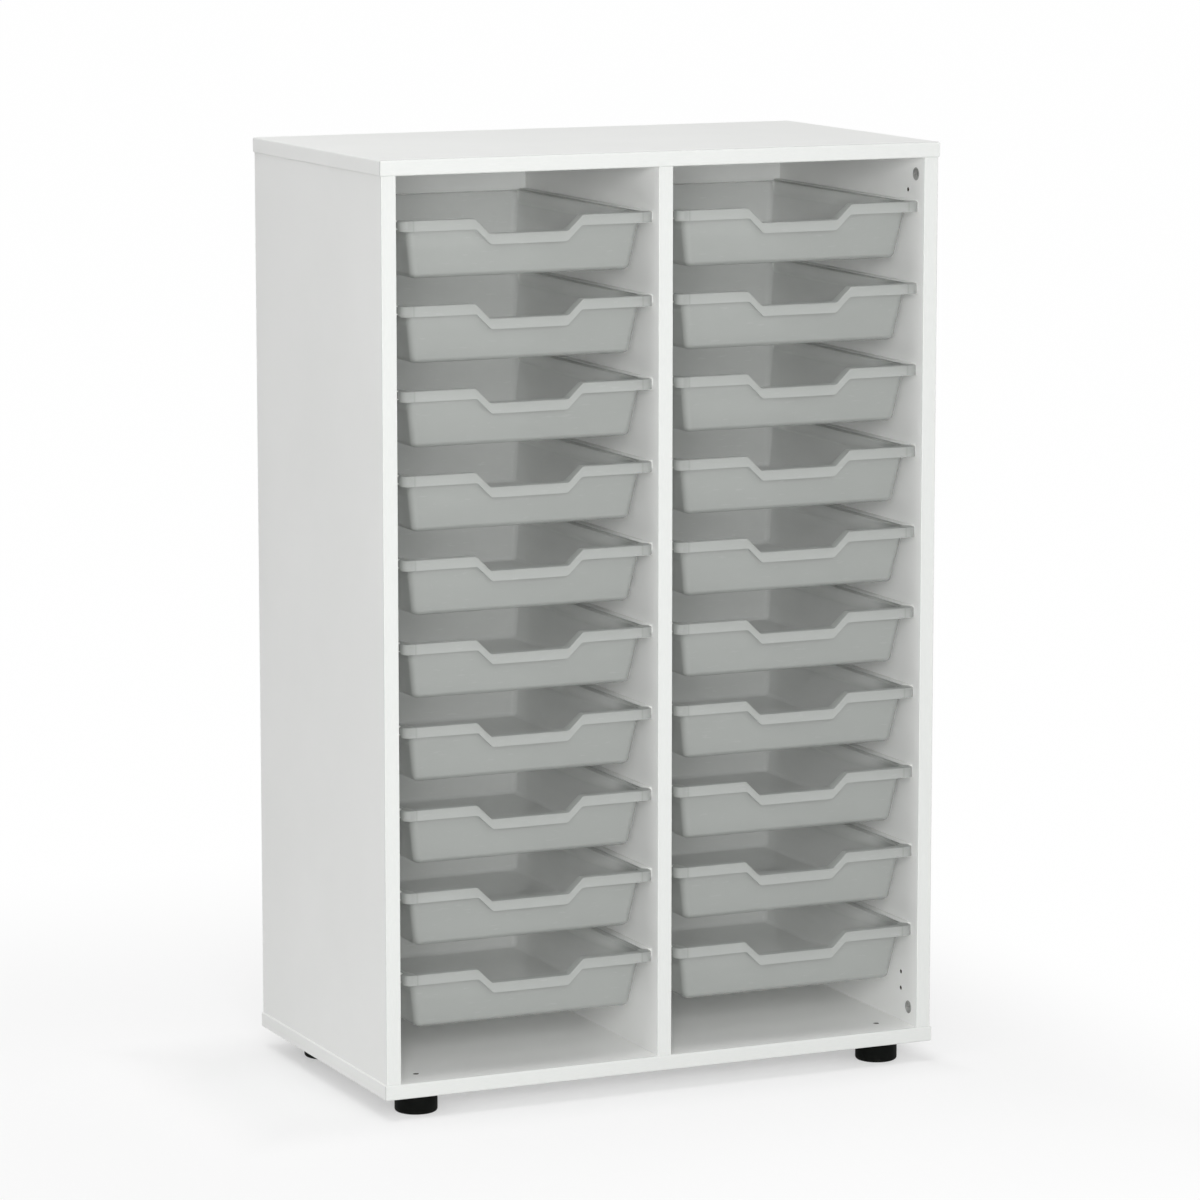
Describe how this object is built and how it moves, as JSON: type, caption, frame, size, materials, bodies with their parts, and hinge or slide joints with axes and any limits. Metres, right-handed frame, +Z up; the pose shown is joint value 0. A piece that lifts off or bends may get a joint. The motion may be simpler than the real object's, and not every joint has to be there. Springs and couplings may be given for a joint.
{
  "type": "tray storage unit",
  "caption": "Open-fronted school storage cabinet in white board: a middle divider, columns of shallow translucent pull-out trays on runners, and round black levelling feet.",
  "frame": {"origin": "on the floor under the middle of the cabinet", "axes": "+Z up, -Y out of the open front, +X to the right of someone facing the front"},
  "size_m": [0.705, 0.4, 1.102],
  "materials": {
    "white_board": "white melamine-faced chipboard, satin, with a matching plastic edge band",
    "back_board": "white melamine-faced board, satin",
    "frosted_plastic": "translucent frosted polypropylene",
    "runner_plastic": "pale moulded plastic",
    "black_plastic": "black moulded plastic",
    "steel": "zinc-plated steel",
    "zinc": "die-cast zinc",
    "dowel_wood": "plain beech"
  },
  "bodies": {
    "carcass": {"top_panel": "white_board", "base_panel": "white_board", "side_panel_left": "white_board", "side_panel_right": "white_board", "centre_divider": "white_board", "back_panel": "back_board", "cam_locks": "zinc", "cam_bolts": "steel", "divider_dowels": "dowel_wood", "foot_nuts": "steel", "runners_left_01": "runner_plastic", "runners_left_02": "runner_plastic", "runners_left_03": "runner_plastic", "runners_left_04": "runner_plastic", "runners_left_05": "runner_plastic", "runners_left_06": "runner_plastic", "runners_left_07": "runner_plastic", "runners_left_08": "runner_plastic", "runners_left_09": "runner_plastic", "runners_left_10": "runner_plastic", "runners_right_01": "runner_plastic", "runners_right_02": "runner_plastic", "runners_right_03": "runner_plastic", "runners_right_04": "runner_plastic", "runners_right_05": "runner_plastic", "runners_right_06": "runner_plastic", "runners_right_07": "runner_plastic", "runners_right_08": "runner_plastic", "runners_right_09": "runner_plastic", "runners_right_10": "runner_plastic"},
    "tray_left_01": {"tray_left_01": "frosted_plastic"},
    "tray_left_02": {"tray_left_02": "frosted_plastic"},
    "tray_left_03": {"tray_left_03": "frosted_plastic"},
    "tray_left_04": {"tray_left_04": "frosted_plastic"},
    "tray_left_05": {"tray_left_05": "frosted_plastic"},
    "tray_left_06": {"tray_left_06": "frosted_plastic"},
    "tray_left_07": {"tray_left_07": "frosted_plastic"},
    "tray_left_08": {"tray_left_08": "frosted_plastic"},
    "tray_left_09": {"tray_left_09": "frosted_plastic"},
    "tray_left_10": {"tray_left_10": "frosted_plastic"},
    "tray_right_01": {"tray_right_01": "frosted_plastic"},
    "tray_right_02": {"tray_right_02": "frosted_plastic"},
    "tray_right_03": {"tray_right_03": "frosted_plastic"},
    "tray_right_04": {"tray_right_04": "frosted_plastic"},
    "tray_right_05": {"tray_right_05": "frosted_plastic"},
    "tray_right_06": {"tray_right_06": "frosted_plastic"},
    "tray_right_07": {"tray_right_07": "frosted_plastic"},
    "tray_right_08": {"tray_right_08": "frosted_plastic"},
    "tray_right_09": {"tray_right_09": "frosted_plastic"},
    "tray_right_10": {"tray_right_10": "frosted_plastic"},
    "foot_front_left": {"foot_front_left": "black_plastic"},
    "foot_front_right": {"foot_front_right": "black_plastic"},
    "foot_rear_left": {"foot_rear_left": "black_plastic"},
    "foot_rear_right": {"foot_rear_right": "black_plastic"},
    "foot_spindle_front_left": {"foot_spindle_front_left": "steel"},
    "foot_spindle_front_right": {"foot_spindle_front_right": "steel"},
    "foot_spindle_rear_left": {"foot_spindle_rear_left": "steel"},
    "foot_spindle_rear_right": {"foot_spindle_rear_right": "steel"}
  },
  "joints": [
    {"name": "tray_left_01_slide", "type": "slide", "parent": "carcass", "child": "tray_left_01", "axis": [0, -1, 0], "range_m": [0, 0.35]},
    {"name": "tray_left_02_slide", "type": "slide", "parent": "carcass", "child": "tray_left_02", "axis": [0, -1, 0], "range_m": [0, 0.35]},
    {"name": "tray_left_03_slide", "type": "slide", "parent": "carcass", "child": "tray_left_03", "axis": [0, -1, 0], "range_m": [0, 0.35]},
    {"name": "tray_left_04_slide", "type": "slide", "parent": "carcass", "child": "tray_left_04", "axis": [0, -1, 0], "range_m": [0, 0.35]},
    {"name": "tray_left_05_slide", "type": "slide", "parent": "carcass", "child": "tray_left_05", "axis": [0, -1, 0], "range_m": [0, 0.35]},
    {"name": "tray_left_06_slide", "type": "slide", "parent": "carcass", "child": "tray_left_06", "axis": [0, -1, 0], "range_m": [0, 0.35]},
    {"name": "tray_left_07_slide", "type": "slide", "parent": "carcass", "child": "tray_left_07", "axis": [0, -1, 0], "range_m": [0, 0.35]},
    {"name": "tray_left_08_slide", "type": "slide", "parent": "carcass", "child": "tray_left_08", "axis": [0, -1, 0], "range_m": [0, 0.35]},
    {"name": "tray_left_09_slide", "type": "slide", "parent": "carcass", "child": "tray_left_09", "axis": [0, -1, 0], "range_m": [0, 0.35]},
    {"name": "tray_left_10_slide", "type": "slide", "parent": "carcass", "child": "tray_left_10", "axis": [0, -1, 0], "range_m": [0, 0.35]},
    {"name": "tray_right_01_slide", "type": "slide", "parent": "carcass", "child": "tray_right_01", "axis": [0, -1, 0], "range_m": [0, 0.35]},
    {"name": "tray_right_02_slide", "type": "slide", "parent": "carcass", "child": "tray_right_02", "axis": [0, -1, 0], "range_m": [0, 0.35]},
    {"name": "tray_right_03_slide", "type": "slide", "parent": "carcass", "child": "tray_right_03", "axis": [0, -1, 0], "range_m": [0, 0.35]},
    {"name": "tray_right_04_slide", "type": "slide", "parent": "carcass", "child": "tray_right_04", "axis": [0, -1, 0], "range_m": [0, 0.35]},
    {"name": "tray_right_05_slide", "type": "slide", "parent": "carcass", "child": "tray_right_05", "axis": [0, -1, 0], "range_m": [0, 0.35]},
    {"name": "tray_right_06_slide", "type": "slide", "parent": "carcass", "child": "tray_right_06", "axis": [0, -1, 0], "range_m": [0, 0.35]},
    {"name": "tray_right_07_slide", "type": "slide", "parent": "carcass", "child": "tray_right_07", "axis": [0, -1, 0], "range_m": [0, 0.35]},
    {"name": "tray_right_08_slide", "type": "slide", "parent": "carcass", "child": "tray_right_08", "axis": [0, -1, 0], "range_m": [0, 0.35]},
    {"name": "tray_right_09_slide", "type": "slide", "parent": "carcass", "child": "tray_right_09", "axis": [0, -1, 0], "range_m": [0, 0.35]},
    {"name": "tray_right_10_slide", "type": "slide", "parent": "carcass", "child": "tray_right_10", "axis": [0, -1, 0], "range_m": [0, 0.35]},
    {"name": "foot_front_left_height", "type": "slide", "parent": "carcass", "child": "foot_front_left", "axis": [0, 0, -1], "range_m": [0, 0.008]},
    {"name": "foot_spindle_front_left_turn", "type": "hinge", "parent": "foot_front_left", "child": "foot_spindle_front_left", "pos_m": [-0.299, -0.1595, 0.025], "axis": [0, 0, -1], "range_deg": [0, 2160]},
    {"name": "foot_front_right_height", "type": "slide", "parent": "carcass", "child": "foot_front_right", "axis": [0, 0, -1], "range_m": [0, 0.008]},
    {"name": "foot_spindle_front_right_turn", "type": "hinge", "parent": "foot_front_right", "child": "foot_spindle_front_right", "pos_m": [0.299, -0.1595, 0.025], "axis": [0, 0, -1], "range_deg": [0, 2160]},
    {"name": "foot_rear_left_height", "type": "slide", "parent": "carcass", "child": "foot_rear_left", "axis": [0, 0, -1], "range_m": [0, 0.008]},
    {"name": "foot_spindle_rear_left_turn", "type": "hinge", "parent": "foot_rear_left", "child": "foot_spindle_rear_left", "pos_m": [-0.299, 0.1275, 0.025], "axis": [0, 0, -1], "range_deg": [0, 2160]},
    {"name": "foot_rear_right_height", "type": "slide", "parent": "carcass", "child": "foot_rear_right", "axis": [0, 0, -1], "range_m": [0, 0.008]},
    {"name": "foot_spindle_rear_right_turn", "type": "hinge", "parent": "foot_rear_right", "child": "foot_spindle_rear_right", "pos_m": [0.299, 0.1275, 0.025], "axis": [0, 0, -1], "range_deg": [0, 2160]}
  ],
  "couplings": [
    {"joint": "foot_spindle_front_left_turn", "follows": "foot_front_left_height", "rad_per_m": 4188.8},
    {"joint": "foot_spindle_front_right_turn", "follows": "foot_front_right_height", "rad_per_m": 4188.8},
    {"joint": "foot_spindle_rear_left_turn", "follows": "foot_rear_left_height", "rad_per_m": 4188.8},
    {"joint": "foot_spindle_rear_right_turn", "follows": "foot_rear_right_height", "rad_per_m": 4188.8}
  ]
}
